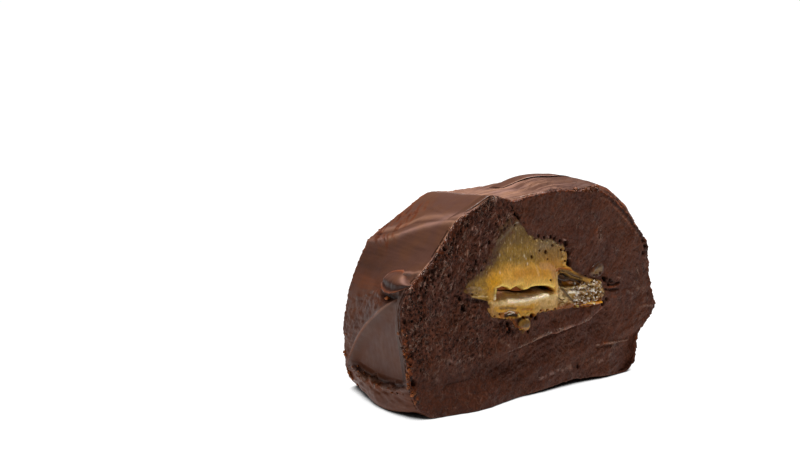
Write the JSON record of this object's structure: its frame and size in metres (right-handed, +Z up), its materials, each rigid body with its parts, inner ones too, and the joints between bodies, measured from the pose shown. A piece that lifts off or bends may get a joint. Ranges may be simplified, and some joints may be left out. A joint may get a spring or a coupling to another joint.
{
  "type": "sea salt chocolate caramel slice",
  "caption": "Thick hand-cut slice of chocolate fudge with a domed skin, flat foot and a soft salted caramel core showing on both cut faces.",
  "frame": {"origin": "on the table, under the middle of the slice's box", "axes": "+Z up, +X along the width of the cut face, +Y from the front cut to the back cut"},
  "size_m": [0.0826, 0.0352, 0.0527],
  "materials": {
    "fudge": "satin, smooth skin and porous cut faces",
    "caramel": "soft gloss, translucent"
  },
  "bodies": {
    "root": {"fudge": "fudge", "caramel_core": "caramel", "caramel_streak": "caramel"}
  },
  "joints": []
}
